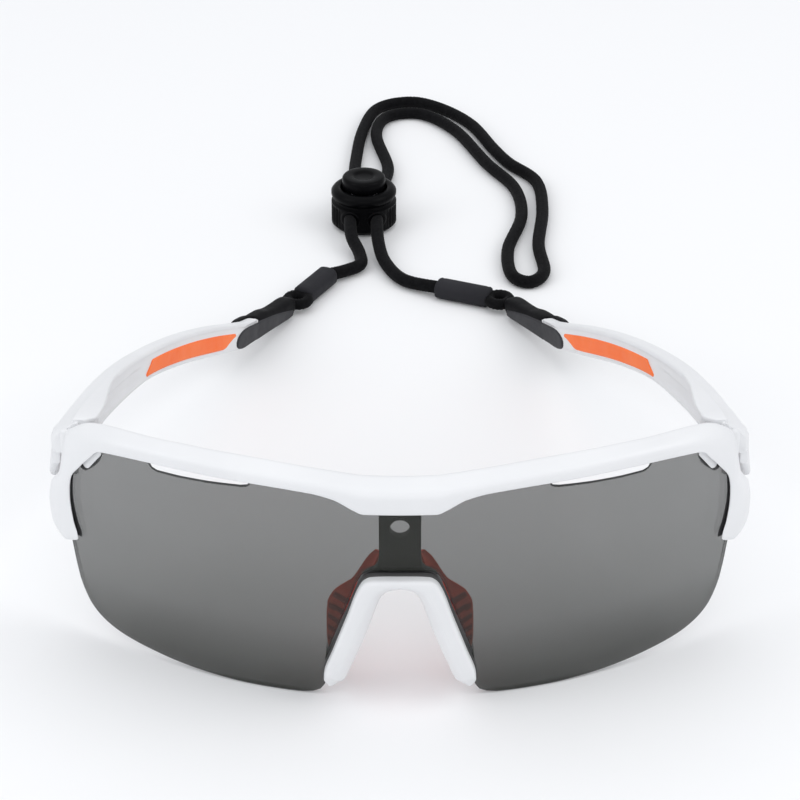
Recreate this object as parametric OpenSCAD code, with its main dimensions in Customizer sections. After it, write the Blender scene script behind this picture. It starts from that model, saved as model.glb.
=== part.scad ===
// Wraparound sport sunglasses with a one-piece shield lens and a leash.
// Origin: centre of the glasses' footprint, on the surface they rest on. The front faces -Y.
// The wearer's left side is +X.

/* [Front] */
// Outer radius of the shield lens, seen from above
lens_r = 104; // [98:1:112]
// Thickness of the lens
lens_t = 1.8; // [1.4:0.1:2.2]
// Height of the lens, from its resting edge to the edge inside the brow
lens_h = 52; // [51:0.5:52]
// Height of the top of the brow bar
brow_top = 54; // [53.5:0.5:55]
// Depth of the brow bar, front to back
brow_d = 6.5; // [6:0.5:8]
// Height of the lower end of the side arms
arm_bottom = 21.5; // [18:0.5:26]

/* [Temples] */
// Thickness of a temple, inside to outside
temple_w = 4; // [3.4:0.1:4.6]
// Height of a temple at its tallest
temple_h = 10; // [8:0.5:11]
// Height of the temple where its tip enters the leash socket
tip_h = 7; // [6:0.5:8]
// Depth of the pocket that holds the grip pad
pad_depth = 1.2; // [0.8:0.1:1.4]

/* [Hinges] */
// Radius of a hinge pin
pin_r = 0.9; // [0.7:0.05:1.1]
// Running clearance round a hinge pin
pin_gap = 0.05; // [0.02:0.01:0.1]
// Outer radius of the hinge knuckles
knuckle_r = 2.8; // [2.5:0.1:3]

/* [Leash] */
// Diameter of the leash cord
cord_d = 3.4; // [3:0.1:3.6]
// Outer radius of the cord lock
lock_r = 8.6; // [7.6:0.1:9]
// Travel of the cord lock's button
button_travel = 1.6; // [1:0.1:1.8]

/* [Hidden] */
$fn = 64;
front_y = -82.85;               // the foremost point of the lens
hinge_x = 64.5;
hinge_y = front_y + 31.5;
hinge_z0 = 38;                 // underside of the lower frame ear
ear_h = 2.5;
knuckle_h = 5.6;
ear_gap = 0.3;
hinge_z1 = hinge_z0 + ear_h + ear_gap;          // underside of the temple knuckle
hinge_z2 = hinge_z1 + knuckle_h + ear_gap;      // underside of the upper frame ear
lens_half = 69;                // half the width of the lens
fit_gap = 0.1;                 // gap between pieces of one body
brow_bottom = 49.5;
brow_ahead = 2.6;              // how far the brow bar stands in front of the lens
groove_top = lens_h + 0.3;
lens_back = lens_r - lens_t;
core_t = 2;
core_half = 4.6;               // half the width of the brow's recess for the nose core

// A quadratic curve through control points a, b and c.
function curve(a, b, c, t) = (1 - t) * (1 - t) * a + 2 * t * (1 - t) * b + t * t * c;

function unit(v) = v / norm(v);

// Catmull-Rom point between b and c.
function smooth_point(a, b, c, d, t) =
    0.5 * (2 * b + (c - a) * t + (2 * a - 5 * b + 4 * c - d) * t * t + (3 * b - a - 3 * c + d) * t * t * t);

// A smooth route through hand-placed points, with `steps` pieces between two points.
function smooth_route(p, steps) = concat(
    [for (i = [0 : len(p) - 2]) for (k = [0 : steps - 1])
        smooth_point(p[max(i - 1, 0)], p[i], p[i + 1], p[min(i + 2, len(p) - 1)], k / steps)],
    [p[len(p) - 1]]);

function direction(p, i) = unit(p[min(i + 1, len(p) - 1)] - p[max(i - 1, 0)]);
function sideways(p, i) = unit(cross(direction(p, i), [0, 0, 1]));
function upward(p, i) = cross(sideways(p, i), direction(p, i));

// Faces of a solid swept from rings of n points each.
function sweep_faces(rings, n) = concat(
    [[for (k = [0 : n - 1]) k]],
    [for (i = [0 : rings - 2]) for (k = [0 : n - 1])
        [i * n + k, (i + 1) * n + k, (i + 1) * n + (k + 1) % n, i * n + (k + 1) % n]],
    [[for (k = [n - 1 : -1 : 0]) (rings - 1) * n + k]]);

// A round tube along the route p.
module tube(p, r, sides) {
    points = [for (i = [0 : len(p) - 1]) for (k = [0 : sides - 1])
        p[i] + r * (cos(360 * k / sides) * sideways(p, i) + sin(360 * k / sides) * upward(p, i))];
    polyhedron(points, sweep_faces(len(p), sides));
}

module mirrored(side) {
    mirror([side < 0 ? 1 : 0, 0, 0]) children();
}

// A wall that follows the lens's arc, between two radii and two heights.
module arc_wall(r_out, r_in, z0, z1) {
    translate([0, front_y + lens_r, z0]) difference() {
        cylinder(r = r_out, h = z1 - z0, $fn = 180);
        translate([0, 0, -1]) cylinder(r = r_in, h = z1 - z0 + 2, $fn = 180);
    }
}

// Extrudes an outline drawn in X and Z along Y, from y0 to y1 behind the lens's foremost point.
module front_outline(points, y0, y1) {
    translate([0, front_y + y1, 0]) rotate([90, 0, 0]) linear_extrude(y1 - y0) polygon(points);
}

// Both halves of an outline whose right half runs from the centre line.
function both_sides(p) = concat(p, [for (i = [len(p) - 1 : -1 : 0]) [-p[i][0], p[i][1]]]);

// ---- Front -------------------------------------------------------------------------------

// The V-shaped gap for the nose bridge, grown by g.
function nose_gap(g) = [[-18.2 - g, -1], [-16.6 - g, 6], [-8.6 - g, 29.5], [-6.6 - g, 31.5 + g],
    [6.6 + g, 31.5 + g], [8.6 + g, 29.5], [16.6 + g, 6], [18.2 + g, -1]];

vent_z = 47.8;                 // the lens's edge along a brow vent
lens_lower = [for (i = [0 : 12]) curve([44, 1], [66, 2.5], [lens_half, 22], i / 12)];
lens_outline = both_sides(concat([[0, 0], [28, 0]], lens_lower,
    [[lens_half, 38], [62.5, 49], [50.5, lens_h - 0.5], [49, vent_z - 0.2], [31, vent_z],
     [29.5, lens_h], [0, lens_h]]));

module lens() {
    color("dimgray") difference() {
        intersection() {
            arc_wall(lens_r, lens_back, 0, lens_h);
            front_outline(lens_outline, -1, 40);
        }
        front_outline(nose_gap(0.5), -2, 5);
        for (side = [-1, 1])
            mirrored(side) translate([63.3, front_y + 21, 44]) rotate([0, 40, 0])
                cube([2, 12, 5], center = true);
    }
}

brow_outline = both_sides([[0, 46], [7.5, 46], [12, brow_bottom - 0.7], [18, brow_bottom],
    [50, brow_bottom], [62, brow_bottom - 1.4], [62, brow_top], [0, brow_top]]);

module frame_corner() {
    hull() {
        translate([60, front_y + 17.5, brow_bottom - 1]) cube([1, 6.5, brow_top - brow_bottom]);
        translate([66, front_y + 20.5, 41]) cube([5, 6.4, brow_top - 42.5]);
        translate([70, front_y + 24, 42]) cube([2, 2.9, brow_top - 45]);
    }
    hull() {
        translate([67.5, front_y + 23, 42]) cube([4.5, 3.9, 4]);
        translate([67.5, front_y + 23.5, arm_bottom + 3]) rotate([-90, 0, 0])
            cylinder(r = 3, h = 4.5, $fn = 32);
        translate([70.4, front_y + 27, hinge_z0 + 0.9]) rotate([-90, 0, 0])
            cylinder(r = 1.6, h = 1.2, $fn = 32);
    }
}

module frame_ear(z) {
    translate([hinge_x, hinge_y, z]) cylinder(r = knuckle_r, h = ear_h);
    translate([hinge_x - knuckle_r, front_y + 25, z]) cube([2 * knuckle_r, hinge_y - front_y - 25, ear_h]);
}

// Ties the lower ear to the side arm, behind the lens and below the temple.
module ear_link() {
    translate([hinge_x - knuckle_r, front_y + 27, hinge_z0]) cube([71 - hinge_x + knuckle_r, 3, ear_h]);
}

groove_outline = both_sides([[0, -2], [lens_half + 0.3, -2], [lens_half + 0.3, 38.1], [62.9, 49.4],
    [62.9, groove_top], [0, groove_top]]);

module front_frame() {
    color("white") difference() {
        union() {
            intersection() {
                arc_wall(lens_r + brow_ahead, lens_r + brow_ahead - brow_d, 40, brow_top);
                front_outline(brow_outline, -10, 40);
            }
            for (side = [-1, 1])
                mirrored(side) {
                    frame_corner();
                    frame_ear(hinge_z0);
                    frame_ear(hinge_z2);
                    ear_link();
                }
        }
        intersection() {
            arc_wall(lens_r + fit_gap, lens_back - fit_gap, -1, groove_top);
            front_outline(groove_outline, -1, 40);
        }
        intersection() {
            arc_wall(lens_back, lens_back - core_t - fit_gap, 40, brow_bottom + 0.6);
            front_outline(both_sides([[core_half, 40], [core_half, brow_top]]), -2, 10);
        }
        for (x = [-hinge_x, hinge_x])
            translate([x, hinge_y, hinge_z0 - 1]) cylinder(r = pin_r, h = 20);
    }
}

core_outline = both_sides([[0, 29], [7, 29], [14.6, 5.6], [17.6, 5.6], [9.8, 30], [7.5, 33], [4.6, 34],
    [4.3, brow_bottom], [0, brow_bottom]]);

module nose_core() {
    color([0.16, 0.16, 0.17]) difference() {
        intersection() {
            arc_wall(lens_back - fit_gap, lens_back - core_t, 4, brow_bottom);
            front_outline(core_outline, -2, 10);
        }
        front_outline(nose_gap(0.1), -2, 10);
        translate([0, front_y - 2, 42]) rotate([-90, 0, 0]) cylinder(r = 2.1, h = 12);
    }
}

bridge_arch = [for (a = [0 : 15 : 90]) [5.4 * sin(a), 22.2 + 5.4 * cos(a)]];
bridge_outline = concat([for (p = bridge_arch) p],
    [[12.6, 5], [14.6, 4], [16.4, 6], [8.4, 29.4], [6.5, 31.4]],
    [[-6.5, 31.4], [-8.4, 29.4], [-16.4, 6], [-14.6, 4], [-12.6, 5]],
    [for (i = [6 : -1 : 1]) [-bridge_arch[i][0], bridge_arch[i][1]]]);

module nose_bridge() {
    color("white") front_outline(bridge_outline, -3, 4.5);
}

module nose_pad(side) {
    color("tomato") mirrored(side) translate([0, front_y, 0]) {
        hull() {
            translate([5.6, 6.2, 29]) sphere(r = 1.2, $fn = 24);
            translate([7, 9.4, 27]) sphere(r = 1.2, $fn = 24);
            translate([9.4, 6.2, 18]) sphere(r = 1.2, $fn = 24);
            translate([13, 11.4, 17]) sphere(r = 1.2, $fn = 24);
        }
        hull() {
            translate([9.4, 6.2, 18]) sphere(r = 1.2, $fn = 24);
            translate([13, 11.4, 17]) sphere(r = 1.2, $fn = 24);
            translate([12.4, 6.8, 6]) sphere(r = 1.2, $fn = 24);
            translate([13.6, 9.8, 6]) sphere(r = 1.2, $fn = 24);
        }
    }
}

// ---- Temples -----------------------------------------------------------------------------

temple_a = [67.6, front_y + 28, 46.5];
temple_b = [60.5, front_y + 80, 39.5];
temple_c = [38.5, front_y + 146, 6];
socket_t = 0.94;               // where on the temple's curve the leash socket starts
pad_t0 = 0.58;
pad_t1 = 0.9;
pad_rim = 1.6;                 // plastic left above and below the pad
pad_gap = 0.1;
edge = 1.2;                    // rounding of the temple's long edges

function temple_point(t) = curve(temple_a, temple_b, temple_c, t);
function temple_dir(t) = unit(temple_point(t + 0.01) - temple_point(t - 0.01));
function temple_side(t) = unit(cross(temple_dir(t), [0, 0, -1]));
function temple_up(t) = cross(temple_side(t), -temple_dir(t));
function temple_height(t) = t < 0.6 ? 9 + (temple_h - 9) * t / 0.6
    : temple_h + (tip_h - temple_h) * (t - 0.6) / (socket_t - 0.6);

// Cross-section: u towards the head, v up. The inner face is sunk by `sunk` between its two rims.
function temple_section(h, sunk) = let (u = temple_w / 2, v = h / 2, p = v - pad_rim) [
    [-u, v - edge], [-u + edge / 3, v - edge / 3], [-u + edge, v],
    [u - edge, v], [u - edge / 3, v - edge / 3], [u, v - edge],
    [u, p], [u - sunk, p], [u - sunk, -p], [u, -p],
    [u, -v + edge], [u - edge / 3, -v + edge / 3], [u - edge, -v], [-u + edge, -v],
    [-u + edge / 3, -v + edge / 3], [-u, -v + edge]];

function place_section(s, t) = [for (i = [len(s) - 1 : -1 : 0])
    temple_point(t) + s[i][0] * temple_side(t) + s[i][1] * temple_up(t)];

temple_t0 = 0.01;              // front end of the temple, clear of the frame as it folds
temple_ts = concat(
    [for (i = [0 : 11]) temple_t0 + (pad_t0 - temple_t0) * i / 11],
    [for (i = [0 : 7]) pad_t0 + 0.002 + (pad_t1 - pad_t0 - 0.004) * i / 7],
    [pad_t1, socket_t]);

function sunk_at(t) = t > pad_t0 + 0.001 && t < pad_t1 - 0.001 ? pad_depth : 0.02;

// Outline of the tongue that enters the leash socket.
tongue = [temple_w * 0.6, 9, 4.4];

// Places children at the temple's end, with Y along the temple.
module at_temple_end() {
    d = temple_dir(socket_t);
    translate(temple_point(socket_t))
        rotate([0, 0, atan2(d[1], d[0]) - 90]) rotate([asin(d[2]), 0, 0]) children();
}

module temple_tongue(grow) {
    at_temple_end() translate([0, 4, 0]) cube(tongue + [grow, grow, grow], center = true);
}

module hinge_space() {
    for (z = [hinge_z0, hinge_z2])
        translate([hinge_x, hinge_y, z - ear_gap]) {
            cylinder(r = knuckle_r + 0.4, h = ear_h + 2 * ear_gap);
            translate([-10, -10, 0]) cube([10 + knuckle_r + 0.4, 10, ear_h + 2 * ear_gap]);
        }
}

module temple(side) {
    color("white") mirrored(side) difference() {
        union() {
            polyhedron([for (t = temple_ts) let (s = temple_section(temple_height(t), sunk_at(t)))
                for (p = place_section(s, t)) p], sweep_faces(len(temple_ts), 16));
            temple_tongue(0);
            translate([hinge_x, hinge_y, hinge_z1]) cylinder(r = knuckle_r, h = knuckle_h);
            translate([hinge_x, hinge_y - 1.5, hinge_z1]) cube([2.6, 8, knuckle_h]);
        }
        hinge_space();
        translate([hinge_x, hinge_y, hinge_z0]) cylinder(r = pin_r + pin_gap, h = 20);
    }
}

module grip_pad(side) {
    n = 8;
    t0 = pad_t0 + 0.006;
    t1 = pad_t1 - 0.006;
    u0 = temple_w / 2 - pad_depth + pad_gap;
    u1 = temple_w / 2 + 0.3;
    function section(v) = [[u0, v], [u1 - 0.4, v], [u1, v - 0.4], [u1, 0.4 - v], [u1 - 0.4, -v], [u0, -v]];
    function pad_v(t) = temple_height(t) / 2 - pad_rim - pad_gap;
    ts = [for (i = [0 : n]) t0 + (t1 - t0) * i / n];
    color("coral") mirrored(side)
        polyhedron([for (t = ts) for (p = place_section(section(pad_v(t)), t)) p], sweep_faces(n + 1, 6));
}

module hinge_pin(side) {
    color("silver") translate([side * hinge_x, hinge_y, hinge_z0])
        cylinder(r = pin_r, h = hinge_z2 + ear_h - hinge_z0);
}

// ---- Leash -------------------------------------------------------------------------------

socket_end = [30.2, front_y + 165, 4];

module leash_socket(side) {
    color([0.2, 0.2, 0.21]) mirrored(side) difference() {
        hull() {
            at_temple_end() translate([0, 0.3, 0]) rotate([-90, 0, 0])
                resize([6.2, 8, 1]) cylinder(r = 4, h = 1, $fn = 32);
            translate(temple_c + [-1, 3, -0.8]) sphere(r = 3.4, $fn = 24);
            translate(socket_end) sphere(r = 2.4, $fn = 24);
        }
        temple_tongue(0.2);
    }
}

// The cord's hand-placed route, from the right crimp through the lock, round and back to the left crimp.
// Its Y is measured from the lens's foremost point.
cord_points = [[-19.3, 186.1, 2.6], [-14.8, 189.2, 2.2], [-10.9, 193, 2.2], [-11.2, 199, 2.6],
    [-13.4, 206, 4], [-14, 213, 5], [-14, 223, 5], [-14, 233, 5], [-13.5, 244, 3], [-13.2, 262, 1.8],
    [-11.5, 284, 1.8], [-7, 301.5, 1.8], [3.3, 307, 1.8], [13, 301.5, 1.8], [22, 289, 1.8], [28.2, 271, 1.8],
    [32.5, 260.5, 1.8], [40, 247.5, 1.8], [40.8, 228, 1.8], [38.6, 206, 1.8], [39.3, 189.5, 1.8],
    [35.2, 183.2, 1.8], [30.4, 187.5, 1.8], [30, 203, 1.8], [34.6, 224, 1.8], [33.4, 243, 1.8],
    [25.8, 260.5, 1.8], [17, 284.5, 1.8], [6.5, 297.5, 1.8], [-4, 295, 1.8], [-7.2, 281, 1.8],
    [-3.6, 258, 1.8], [-5, 243, 3], [-6.5, 233, 5], [-6.5, 223, 5], [-6.5, 213, 5], [-6, 204, 3.4],
    [-4, 194, 2.2], [1, 184, 2], [10, 178.5, 2.6]];
cord_route = [for (p = cord_points) p + [0, front_y, 0]];

ring_left = [26.4, front_y + 171.3, 2.6];
ring_right = [-27.2, front_y + 171.3, 2.6];
crimp_l = [[22.3, front_y + 173.3, 2.6], cord_route[len(cord_route) - 1]];
crimp_r = [[-25, front_y + 175.4, 2.6], cord_route[0]];

lock_x = -10.25;
lock_y = front_y + 223;
lock_z = 5;                    // height of the cord inside the lock
lock_h = 12;
lock_floor = 8;                // floor of the button's recess
spring_pressed = 1.9;          // height of the spring with the button down
button_r = 6.1;
button_z = lock_floor + spring_pressed + button_travel;
stem_r = 1.4;
spring_r = 3.6;
spring_wire = 0.3;

module leash_cord() {
    color([0.05, 0.05, 0.06]) tube(smooth_route(cord_route, 2), cord_d / 2 - 0.05, 8);
}

// A crimped sleeve that closes the cord's end, from point a to point b.
module crimp(a, b) {
    d = b - a;
    color([0.09, 0.09, 0.1]) translate(a) rotate([0, acos(d[2] / norm(d)), atan2(d[1], d[0])])
        cylinder(r = 2.6, h = norm(d));
}

// A ring of cord that ties a crimp to its socket.
module tie_ring(centre) {
    color([0.05, 0.05, 0.06]) translate(centre) rotate_extrude($fn = 48)
        translate([2.9, 0]) circle(r = 1.1, $fn = 24);
}

module lock_body() {
    color([0.1, 0.1, 0.11]) translate([lock_x, lock_y, 0]) difference() {
        rotate_extrude() polygon([[0, 0.2], [lock_r - 1.2, 0.2], [lock_r, 1.4], [lock_r, lock_h - 1],
            [lock_r - 0.7, lock_h], [0, lock_h]]);
        translate([0, 0, lock_floor]) cylinder(r = button_r + 0.3, h = 10);
        translate([0, 0, 2.6]) cylinder(r = stem_r + 0.06, h = 10);
        for (x = [-3.75, 3.75])
            translate([x, -lock_r - 1, lock_z]) rotate([-90, 0, 0])
                cylinder(r = cord_d / 2 + 0.2, h = 2 * lock_r + 2);
    }
}

module lock_button() {
    color([0.13, 0.13, 0.14]) translate([lock_x, lock_y, 0]) {
        translate([0, 0, button_z]) rotate_extrude()
            polygon([[0, 0], [button_r, 0], [button_r, 2.8], [button_r - 0.8, 3.6], [3.4, 3.6],
                [2.6, 3.1], [0, 3.1]]);
        translate([0, 0, 4.6]) cylinder(r = stem_r, h = button_z - 4.5);
    }
}

module lock_spring() {
    turns = 3;
    rise = button_z - lock_floor - 2 * spring_wire - 0.1;
    helix = [for (i = [0 : 20 * turns]) [lock_x + spring_r * cos(18 * i), lock_y + spring_r * sin(18 * i),
        lock_floor + spring_wire + 0.05 + rise * i / (20 * turns)]];
    color("silver") tube(helix, spring_wire, 6);
}

front_frame();
lens();
nose_core();
nose_bridge();
nose_pad(1);  // nose_pad_left
nose_pad(-1);  // nose_pad_right
temple(1);  // temple_left
temple(-1);  // temple_right
grip_pad(1);  // grip_pad_left
grip_pad(-1);  // grip_pad_right
hinge_pin(1);  // hinge_pin_left
hinge_pin(-1);  // hinge_pin_right
leash_socket(1);  // leash_socket_left
leash_socket(-1);  // leash_socket_right
tie_ring(ring_left);  // tie_ring_left
tie_ring(ring_right);  // tie_ring_right
crimp(crimp_l[0], crimp_l[1]);  // crimp_left
crimp(crimp_r[0], crimp_r[1]);  // crimp_right
leash_cord();
lock_body();
lock_button();
lock_spring();
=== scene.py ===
import math

import bmesh
import bpy
import numpy as np
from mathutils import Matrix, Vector


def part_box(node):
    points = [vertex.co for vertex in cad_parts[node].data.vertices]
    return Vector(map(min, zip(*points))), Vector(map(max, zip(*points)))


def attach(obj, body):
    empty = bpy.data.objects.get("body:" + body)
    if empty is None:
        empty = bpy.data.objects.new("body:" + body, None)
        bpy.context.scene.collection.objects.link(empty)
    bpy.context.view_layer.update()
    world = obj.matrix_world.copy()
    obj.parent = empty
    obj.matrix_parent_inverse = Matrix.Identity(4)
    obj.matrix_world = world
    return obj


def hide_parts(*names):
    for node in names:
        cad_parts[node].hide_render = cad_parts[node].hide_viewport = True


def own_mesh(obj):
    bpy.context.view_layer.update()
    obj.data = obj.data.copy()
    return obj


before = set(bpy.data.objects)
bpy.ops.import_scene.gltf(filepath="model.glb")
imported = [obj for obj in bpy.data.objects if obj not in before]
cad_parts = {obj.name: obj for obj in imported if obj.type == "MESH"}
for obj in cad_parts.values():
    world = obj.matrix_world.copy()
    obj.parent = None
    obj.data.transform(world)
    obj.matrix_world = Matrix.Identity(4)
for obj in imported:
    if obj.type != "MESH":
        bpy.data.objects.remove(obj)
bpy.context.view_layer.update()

# Shapes are written in millimetres: X across, Y back from the lens's foremost point, Z up.
MM = 0.001
BRIDGE_AHEAD = 3.0
FRONT_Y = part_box("nose_bridge")[0].y / MM + BRIDGE_AHEAD
LENS_R = 104.0
LENS_T = 1.8
UP = (0, 0, 1)
SIDES = ("left", "right")


def at(p):
    """A point in millimetres, as metres in the frame."""
    return (p[0] * MM, (p[1] + FRONT_Y) * MM, p[2] * MM)


# ---- Camera and light ----

CAMERA_UP = math.radians(30.0)
CAMERA_AWAY = 600.0
CAMERA_LENS = 108.9
SENSOR = 36.0
AIM = (0.0, 119.8, 1.5)

cam_data = bpy.data.cameras.new("camera")
cam_data.lens = CAMERA_LENS
cam_data.sensor_width = SENSOR
cam_data.clip_start = 0.01
camera = bpy.data.objects.new("camera", cam_data)
bpy.context.scene.collection.objects.link(camera)
camera.location = at((AIM[0], AIM[1] - CAMERA_AWAY * math.cos(CAMERA_UP),
                      AIM[2] + CAMERA_AWAY * math.sin(CAMERA_UP)))
camera.rotation_euler = (math.pi / 2 - CAMERA_UP, 0.0, 0.0)
bpy.context.scene.camera = camera
bpy.context.scene.view_settings.view_transform = "Standard"


def area_light(name, place, aim, size, power, colour):
    """A round lamp, `size` metres across, that stands at `place` and faces `aim`."""
    data = bpy.data.lights.new(name, "AREA")
    data.shape = "DISK"
    data.size = size
    data.energy = power
    data.color = colour
    light = bpy.data.objects.new(name, data)
    light.location = place
    light.rotation_euler = (Vector(aim) - Vector(place)).to_track_quat("-Z", "Y").to_euler()
    bpy.context.scene.collection.objects.link(light)


area_light("light_top", (-0.15, 0.15, 1.3), (0, 0.03, 0), 1.6, 3.5, (1.0, 0.995, 0.99))
area_light("light_right", (1.0, -0.2, 0.9), (0, 0, 0.03), 0.9, 3.9, (1.0, 0.99, 0.98))
area_light("light_left", (-1.0, -0.4, 0.8), (0, 0, 0.03), 0.9, 3.3, (0.985, 0.99, 1.0))
area_light("light_front", (0.0, -1.3, 0.5), (0, 0.02, 0.03), 1.2, 2.8, (1.0, 0.998, 0.995))

world = bpy.data.worlds.new("world")
bpy.context.scene.world = world
world.use_nodes = True
background = world.node_tree.nodes["Background"]
background.inputs["Color"].default_value = (0.955, 0.97, 1.0, 1)
background.inputs["Strength"].default_value = 0.75


# ---- Materials ----

def node_material(name, **sockets):
    """A material with a Principled shader; keyword names are its sockets, with _ for spaces."""
    mat = bpy.data.materials.new(name)
    mat.use_nodes = True
    shader = mat.node_tree.nodes["Principled BSDF"]
    for socket, value in sockets.items():
        shader.inputs[socket.replace("_", " ")].default_value = value
    return mat, mat.node_tree, shader


def noise(tree, scale, detail=2.0, rough=0.5):
    """Object-space noise with `scale` features to the metre."""
    coords = tree.nodes.new("ShaderNodeTexCoord")
    tex = tree.nodes.new("ShaderNodeTexNoise")
    tex.inputs["Scale"].default_value = scale
    tex.inputs["Detail"].default_value = detail
    tex.inputs["Roughness"].default_value = rough
    tree.links.new(coords.outputs["Object"], tex.inputs["Vector"])
    return tex.outputs["Fac"]


NOISE_SPAN = (0.3, 0.7)


def ramp(tree, source, low, high):
    """Spreads the middle of a noise's range over the colours, or greys, from low to high."""
    node = tree.nodes.new("ShaderNodeValToRGB")
    for element, place, value in zip(node.color_ramp.elements, NOISE_SPAN, (low, high)):
        element.position = place
        element.color = (*value, 1) if hasattr(value, "__len__") else (value, value, value, 1)
    tree.links.new(source, node.inputs["Fac"])
    return node.outputs["Color"]


def bump(tree, shader, heights, distance):
    """Adds the heights, each with its own share of `distance`, and drives the shader's normal."""
    normal = None
    for height, share in heights:
        node = tree.nodes.new("ShaderNodeBump")
        node.inputs["Strength"].default_value = 1.0
        node.inputs["Distance"].default_value = distance * share
        tree.links.new(height, node.inputs["Height"])
        if normal:
            tree.links.new(normal, node.inputs["Normal"])
        normal = node.outputs["Normal"]
    tree.links.new(normal, shader.inputs["Normal"])


def moulded(name, low, high, rough, grain, depth, blotch=60.0, **sockets):
    """Moulded plastic or rubber: a fine grain, faint colour blotches and uneven gloss.
    grain and blotch are features to the metre, and depth is the grain's depth in metres."""
    mat, tree, shader = node_material(name, **sockets)
    colour = ramp(tree, noise(tree, blotch, 3.0), low, high)
    gloss = ramp(tree, noise(tree, blotch * 5, 4.0, 0.6), *rough)
    tree.links.new(colour, shader.inputs["Base Color"])
    tree.links.new(gloss, shader.inputs["Roughness"])
    fine, coarse = noise(tree, grain, 3.0, 0.6), noise(tree, grain / 9, 2.0)
    bump(tree, shader, [(fine, 1.0), (coarse, 1.6)], depth)
    return mat


def braided(name, low, high, **sockets):
    """Braided polyester: the strands are in the mesh, and this adds filaments and a sheen."""
    mat, tree, shader = node_material(name, **sockets)
    colour = ramp(tree, noise(tree, 900, 4.0, 0.7), low, high)
    gloss = ramp(tree, noise(tree, 2500, 3.0), 0.6, 0.85)
    tree.links.new(colour, shader.inputs["Base Color"])
    tree.links.new(gloss, shader.inputs["Roughness"])
    fine, coarse = noise(tree, 9000, 3.0, 0.7), noise(tree, 2600, 2.0)
    bump(tree, shader, [(fine, 1.0), (coarse, 1.5)], 3.0e-5)
    return mat


def height_ramp(tree, stops):
    """A value that changes with height; stops are (height in millimetres, value), lowest first."""
    coords = tree.nodes.new("ShaderNodeTexCoord")
    split = tree.nodes.new("ShaderNodeSeparateXYZ")
    scale = tree.nodes.new("ShaderNodeMath")
    scale.operation = "MULTIPLY"
    scale.inputs[1].default_value = 1 / (stops[-1][0] * MM)
    tree.links.new(coords.outputs["Object"], split.inputs["Vector"])
    tree.links.new(split.outputs["Z"], scale.inputs[0])
    node = tree.nodes.new("ShaderNodeValToRGB")
    elements = node.color_ramp.elements
    while len(elements) < len(stops):
        elements.new(0.5)
    for element, (height, value) in zip(elements, stops):
        element.position = height / stops[-1][0]
        element.color = (value, value, value, 1)
    tree.links.new(scale.outputs["Value"], node.inputs["Fac"])
    return node.outputs["Color"]


white = moulded("white_nylon", (0.735, 0.742, 0.756), (0.768, 0.775, 0.788), (0.36, 0.47),
                9000, 2.0e-6, Coat_Weight=0.12, Coat_Roughness=0.3)
charcoal = moulded("charcoal_plastic", (0.056, 0.056, 0.057), (0.071, 0.071, 0.072), (0.5, 0.62),
                   5000, 2.5e-6, Specular_IOR_Level=0.3)
orange = moulded("orange_rubber", (0.95, 0.165, 0.035), (0.99, 0.215, 0.055), (0.5, 0.66),
                 6500, 5.0e-6, Specular_IOR_Level=0.25)
pad_orange = moulded("pad_orange", (0.86, 0.068, 0.030), (0.92, 0.092, 0.040), (0.5, 0.66),
                     6500, 5.0e-6, Specular_IOR_Level=0.2)
# Painted shade: a dark red laid on the faces in the grooves between the nose pads' ribs, where
# shade falls.
pad_groove_shade = moulded("orange_painted_groove_shade", (0.34, 0.012, 0.009), (0.40, 0.018, 0.012), (0.55, 0.7),
                     6500, 5.0e-6, Specular_IOR_Level=0.2)
socket_rubber = moulded("socket_rubber", (0.030, 0.030, 0.034), (0.042, 0.042, 0.046),
                        (0.46, 0.6), 5200, 7.0e-6, Specular_IOR_Level=0.16)
sheath_black = moulded("sheath_rubber", (0.0028, 0.0028, 0.0034), (0.0055, 0.0055, 0.0065),
                       (0.5, 0.64), 5200, 7.0e-6, Specular_IOR_Level=0.08)
sleeve_black = moulded("sleeve_rubber", (0.016, 0.016, 0.019), (0.025, 0.025, 0.029),
                       (0.5, 0.64), 4200, 1.2e-5, Specular_IOR_Level=0.1)
lock_plastic = moulded("lock_plastic", (0.0014, 0.0014, 0.0018), (0.0028, 0.0028, 0.0034),
                       (0.26, 0.38), 6000, 5.0e-6, Specular_IOR_Level=0.055)
cord_black = braided("braided_cord", (0.0022, 0.0022, 0.0027), (0.0075, 0.0075, 0.0085),
                     Sheen_Weight=0.03, Sheen_Roughness=0.5, Specular_IOR_Level=0.05)
steel = moulded("steel", (0.56, 0.56, 0.575), (0.66, 0.66, 0.67), (0.22, 0.34), 7000, 2.0e-6,
                Metallic=1.0)
# Painted shade: a near-black strip on the lens beside each side arm, and a spot in the hollow at
# the lower end of each corner tab, where shade falls.
shade_strip_dark = moulded("lens_painted_shade", (0.02, 0.02, 0.022), (0.03, 0.03, 0.032), (0.5, 0.6), 5000, 4.0e-6)
lens_edge = moulded("lens_edge", (0.018, 0.019, 0.019), (0.028, 0.029, 0.029), (0.25, 0.4),
                    4000, 2.0e-6, Alpha=0.93)
lens_rim_low = moulded("lens_rim_low", (0.020, 0.021, 0.021), (0.030, 0.031, 0.031), (0.2, 0.3),
                       4000, 1.0e-6, Alpha=0.68, Specular_IOR_Level=0.3)
lens_tint = moulded("lens_tint", (0.025, 0.027, 0.022), (0.030, 0.032, 0.027), (0.04, 0.07),
                    60, 1.0e-7, 22.0, IOR=1.58, Specular_IOR_Level=0.3)
# Painted shade: the lens is made more opaque towards its lower edge, standing in for the shadow
# under the glasses seen through it: (height, opacity).
LENS_SHADE_OPACITY = [(0.0, 0.71), (7.0, 0.64), (16.0, 0.56), (34.0, 0.525), (52.0, 0.51)]
tint_tree = lens_tint.node_tree
tint_tree.links.new(height_ramp(tint_tree, LENS_SHADE_OPACITY),
                    tint_tree.nodes["Principled BSDF"].inputs["Alpha"])


# ---- Mesh helpers ----

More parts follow.
